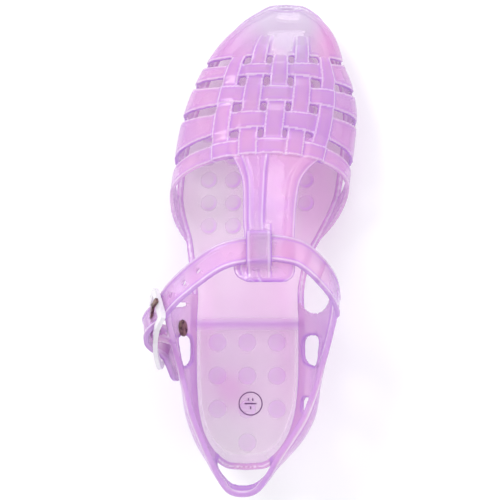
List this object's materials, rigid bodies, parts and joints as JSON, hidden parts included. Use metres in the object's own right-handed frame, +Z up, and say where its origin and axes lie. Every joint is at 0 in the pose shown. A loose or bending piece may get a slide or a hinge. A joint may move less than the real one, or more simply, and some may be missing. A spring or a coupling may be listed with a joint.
{
  "type": "jelly sandal",
  "caption": "Closed-toe moulded jelly sandal for a left foot, with woven vamp, T-bar, buckled ankle strap, slotted heel cage and low block heel.",
  "frame": {"origin": "middle of the shoe's box, on the ground below the sole", "axes": "+Y from heel to toe, +Z up, +X towards the inner side of the left foot"},
  "size_m": [0.112, 0.2562, 0.089],
  "materials": {
    "jelly": "glossy translucent soft PVC, lilac",
    "clear_plastic": "glossy clear hard plastic",
    "bronze": "dark bronze metal"
  },
  "bodies": {
    "root": {"outsole": "jelly", "upper": "jelly", "ankle_strap": "jelly", "buckle_frame": "clear_plastic", "buckle_prong": "bronze", "buckle_rivet": "bronze"}
  },
  "joints": []
}
